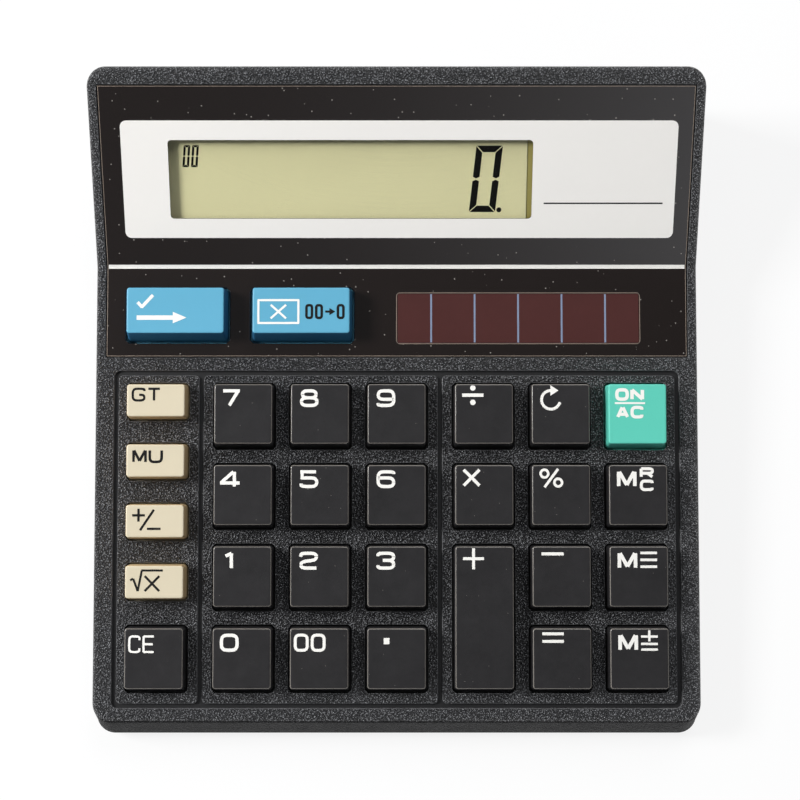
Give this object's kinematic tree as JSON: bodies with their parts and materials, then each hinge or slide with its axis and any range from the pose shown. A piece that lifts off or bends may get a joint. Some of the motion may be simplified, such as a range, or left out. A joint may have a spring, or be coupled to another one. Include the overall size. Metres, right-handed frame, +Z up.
{
  "type": "desk calculator",
  "caption": "Black desk calculator with a sloping keypad deck, a raised display wedge, a glossy overlay, a solar strip, sprung keys and a sliding battery door",
  "frame": {"origin": "on the table, under the middle of the case", "axes": "+X to the user's right, +Y to the back, +Z up"},
  "size_m": [0.143, 0.1536, 0.0365],
  "materials": {
    "grained_case": "spark-grained black moulding",
    "overlay": "glossy black overlay",
    "clear_pane": "clear acrylic",
    "display_film": "green-grey polarizer film",
    "display_glass": "liquid-crystal glass",
    "grey_rubber": "grey silicone rubber",
    "circuit_board": "phenolic board",
    "potting": "black potting drop",
    "capacitor_can": "plain can",
    "ribbon": "pale flat cable",
    "solar_strip": "dark red amorphous strip",
    "wire_sleeve": "insulated wire",
    "cell_jacket": "plain grey jacket",
    "contact_metal": "plated spring strip",
    "screw_steel": "plated screw",
    "foot_rubber": "black rubber",
    "black_key": "satin black cap",
    "beige_key": "satin beige cap",
    "green_key": "satin sea-green cap",
    "blue_key": "satin blue cap"
  },
  "bodies": {
    "case": {"top_shell": "grained_case", "bottom_shell": "grained_case", "faceplate": "overlay", "display_window": "clear_pane", "lcd_polarizer": "display_film", "lcd_glass": "display_glass", "zebra_strip": "grey_rubber", "rubber_keypad": "grey_rubber", "lcd_board": "circuit_board", "main_board": "circuit_board", "controller_blob": "potting", "board_capacitors": "capacitor_can", "ribbon_cable": "ribbon", "solar_cell": "solar_strip", "solar_leads": "wire_sleeve", "battery_leads": "wire_sleeve", "battery_cell": "cell_jacket", "battery_plus_contact": "contact_metal", "battery_minus_contact": "contact_metal", "board_screws": "screw_steel", "lcd_screws": "screw_steel", "case_screws": "screw_steel", "rubber_feet": "foot_rubber"},
    "key_7": {"key_7": "black_key"},
    "key_8": {"key_8": "black_key"},
    "key_9": {"key_9": "black_key"},
    "key_4": {"key_4": "black_key"},
    "key_5": {"key_5": "black_key"},
    "key_6": {"key_6": "black_key"},
    "key_1": {"key_1": "black_key"},
    "key_2": {"key_2": "black_key"},
    "key_3": {"key_3": "black_key"},
    "key_0": {"key_0": "black_key"},
    "key_00": {"key_00": "black_key"},
    "key_point": {"key_point": "black_key"},
    "key_divide": {"key_divide": "black_key"},
    "key_replay": {"key_replay": "black_key"},
    "key_on_clear": {"key_on_clear": "green_key"},
    "key_multiply": {"key_multiply": "black_key"},
    "key_percent": {"key_percent": "black_key"},
    "key_memory_recall": {"key_memory_recall": "black_key"},
    "key_minus": {"key_minus": "black_key"},
    "key_memory_minus": {"key_memory_minus": "black_key"},
    "key_equals": {"key_equals": "black_key"},
    "key_memory_plus": {"key_memory_plus": "black_key"},
    "key_plus": {"key_plus": "black_key"},
    "key_grand_total": {"key_grand_total": "beige_key"},
    "key_mark_up": {"key_mark_up": "beige_key"},
    "key_sign_change": {"key_sign_change": "beige_key"},
    "key_square_root": {"key_square_root": "beige_key"},
    "key_clear_entry": {"key_clear_entry": "black_key"},
    "key_check": {"key_check": "blue_key"},
    "key_correct": {"key_correct": "blue_key"},
    "battery_door": {"battery_door": "grained_case"}
  },
  "joints": [
    {"name": "key_7_press", "type": "slide", "parent": "case", "child": "key_7", "axis": [0, 0.0401, -0.9992], "range_m": [0, 0.0016], "stiffness_N_per_m": 300, "springref_m": -0.0004, "deforming": ["rubber_keypad"]},
    {"name": "key_8_press", "type": "slide", "parent": "case", "child": "key_8", "axis": [0, 0.0401, -0.9992], "range_m": [0, 0.0016], "stiffness_N_per_m": 300, "springref_m": -0.0004, "deforming": ["rubber_keypad"]},
    {"name": "key_9_press", "type": "slide", "parent": "case", "child": "key_9", "axis": [0, 0.0401, -0.9992], "range_m": [0, 0.0016], "stiffness_N_per_m": 300, "springref_m": -0.0004, "deforming": ["rubber_keypad"]},
    {"name": "key_4_press", "type": "slide", "parent": "case", "child": "key_4", "axis": [0, 0.0401, -0.9992], "range_m": [0, 0.0016], "stiffness_N_per_m": 300, "springref_m": -0.0004, "deforming": ["rubber_keypad"]},
    {"name": "key_5_press", "type": "slide", "parent": "case", "child": "key_5", "axis": [0, 0.0401, -0.9992], "range_m": [0, 0.0016], "stiffness_N_per_m": 300, "springref_m": -0.0004, "deforming": ["rubber_keypad"]},
    {"name": "key_6_press", "type": "slide", "parent": "case", "child": "key_6", "axis": [0, 0.0401, -0.9992], "range_m": [0, 0.0016], "stiffness_N_per_m": 300, "springref_m": -0.0004, "deforming": ["rubber_keypad"]},
    {"name": "key_1_press", "type": "slide", "parent": "case", "child": "key_1", "axis": [0, 0.0401, -0.9992], "range_m": [0, 0.0016], "stiffness_N_per_m": 300, "springref_m": -0.0004, "deforming": ["rubber_keypad"]},
    {"name": "key_2_press", "type": "slide", "parent": "case", "child": "key_2", "axis": [0, 0.0401, -0.9992], "range_m": [0, 0.0016], "stiffness_N_per_m": 300, "springref_m": -0.0004, "deforming": ["rubber_keypad"]},
    {"name": "key_3_press", "type": "slide", "parent": "case", "child": "key_3", "axis": [0, 0.0401, -0.9992], "range_m": [0, 0.0016], "stiffness_N_per_m": 300, "springref_m": -0.0004, "deforming": ["rubber_keypad"]},
    {"name": "key_0_press", "type": "slide", "parent": "case", "child": "key_0", "axis": [0, 0.0401, -0.9992], "range_m": [0, 0.0016], "stiffness_N_per_m": 300, "springref_m": -0.0004, "deforming": ["rubber_keypad"]},
    {"name": "key_00_press", "type": "slide", "parent": "case", "child": "key_00", "axis": [0, 0.0401, -0.9992], "range_m": [0, 0.0016], "stiffness_N_per_m": 300, "springref_m": -0.0004, "deforming": ["rubber_keypad"]},
    {"name": "key_point_press", "type": "slide", "parent": "case", "child": "key_point", "axis": [0, 0.0401, -0.9992], "range_m": [0, 0.0016], "stiffness_N_per_m": 300, "springref_m": -0.0004, "deforming": ["rubber_keypad"]},
    {"name": "key_divide_press", "type": "slide", "parent": "case", "child": "key_divide", "axis": [0, 0.0401, -0.9992], "range_m": [0, 0.0016], "stiffness_N_per_m": 300, "springref_m": -0.0004, "deforming": ["rubber_keypad"]},
    {"name": "key_replay_press", "type": "slide", "parent": "case", "child": "key_replay", "axis": [0, 0.0401, -0.9992], "range_m": [0, 0.0016], "stiffness_N_per_m": 300, "springref_m": -0.0004, "deforming": ["rubber_keypad"]},
    {"name": "key_on_clear_press", "type": "slide", "parent": "case", "child": "key_on_clear", "axis": [0, 0.0401, -0.9992], "range_m": [0, 0.0016], "stiffness_N_per_m": 300, "springref_m": -0.0004, "deforming": ["rubber_keypad"]},
    {"name": "key_multiply_press", "type": "slide", "parent": "case", "child": "key_multiply", "axis": [0, 0.0401, -0.9992], "range_m": [0, 0.0016], "stiffness_N_per_m": 300, "springref_m": -0.0004, "deforming": ["rubber_keypad"]},
    {"name": "key_percent_press", "type": "slide", "parent": "case", "child": "key_percent", "axis": [0, 0.0401, -0.9992], "range_m": [0, 0.0016], "stiffness_N_per_m": 300, "springref_m": -0.0004, "deforming": ["rubber_keypad"]},
    {"name": "key_memory_recall_press", "type": "slide", "parent": "case", "child": "key_memory_recall", "axis": [0, 0.0401, -0.9992], "range_m": [0, 0.0016], "stiffness_N_per_m": 300, "springref_m": -0.0004, "deforming": ["rubber_keypad"]},
    {"name": "key_minus_press", "type": "slide", "parent": "case", "child": "key_minus", "axis": [0, 0.0401, -0.9992], "range_m": [0, 0.0016], "stiffness_N_per_m": 300, "springref_m": -0.0004, "deforming": ["rubber_keypad"]},
    {"name": "key_memory_minus_press", "type": "slide", "parent": "case", "child": "key_memory_minus", "axis": [0, 0.0401, -0.9992], "range_m": [0, 0.0016], "stiffness_N_per_m": 300, "springref_m": -0.0004, "deforming": ["rubber_keypad"]},
    {"name": "key_equals_press", "type": "slide", "parent": "case", "child": "key_equals", "axis": [0, 0.0401, -0.9992], "range_m": [0, 0.0016], "stiffness_N_per_m": 300, "springref_m": -0.0004, "deforming": ["rubber_keypad"]},
    {"name": "key_memory_plus_press", "type": "slide", "parent": "case", "child": "key_memory_plus", "axis": [0, 0.0401, -0.9992], "range_m": [0, 0.0016], "stiffness_N_per_m": 300, "springref_m": -0.0004, "deforming": ["rubber_keypad"]},
    {"name": "key_plus_press", "type": "slide", "parent": "case", "child": "key_plus", "axis": [0, 0.0401, -0.9992], "range_m": [0, 0.0016], "stiffness_N_per_m": 300, "springref_m": -0.0004, "deforming": ["rubber_keypad"]},
    {"name": "key_grand_total_press", "type": "slide", "parent": "case", "child": "key_grand_total", "axis": [0, 0.0401, -0.9992], "range_m": [0, 0.0016], "stiffness_N_per_m": 300, "springref_m": -0.0004, "deforming": ["rubber_keypad"]},
    {"name": "key_mark_up_press", "type": "slide", "parent": "case", "child": "key_mark_up", "axis": [0, 0.0401, -0.9992], "range_m": [0, 0.0016], "stiffness_N_per_m": 300, "springref_m": -0.0004, "deforming": ["rubber_keypad"]},
    {"name": "key_sign_change_press", "type": "slide", "parent": "case", "child": "key_sign_change", "axis": [0, 0.0401, -0.9992], "range_m": [0, 0.0016], "stiffness_N_per_m": 300, "springref_m": -0.0004, "deforming": ["rubber_keypad"]},
    {"name": "key_square_root_press", "type": "slide", "parent": "case", "child": "key_square_root", "axis": [0, 0.0401, -0.9992], "range_m": [0, 0.0016], "stiffness_N_per_m": 300, "springref_m": -0.0004, "deforming": ["rubber_keypad"]},
    {"name": "key_clear_entry_press", "type": "slide", "parent": "case", "child": "key_clear_entry", "axis": [0, 0.0401, -0.9992], "range_m": [0, 0.0016], "stiffness_N_per_m": 300, "springref_m": -0.0004, "deforming": ["rubber_keypad"]},
    {"name": "key_check_press", "type": "slide", "parent": "case", "child": "key_check", "axis": [0, 0.0401, -0.9992], "range_m": [0, 0.0016], "stiffness_N_per_m": 300, "springref_m": -0.0004, "deforming": ["rubber_keypad"]},
    {"name": "key_correct_press", "type": "slide", "parent": "case", "child": "key_correct", "axis": [0, 0.0401, -0.9992], "range_m": [0, 0.0016], "stiffness_N_per_m": 300, "springref_m": -0.0004, "deforming": ["rubber_keypad"]},
    {"name": "battery_door_slide", "type": "slide", "parent": "case", "child": "battery_door", "axis": [0, 1, 0], "range_m": [0, 0.024]}
  ]
}
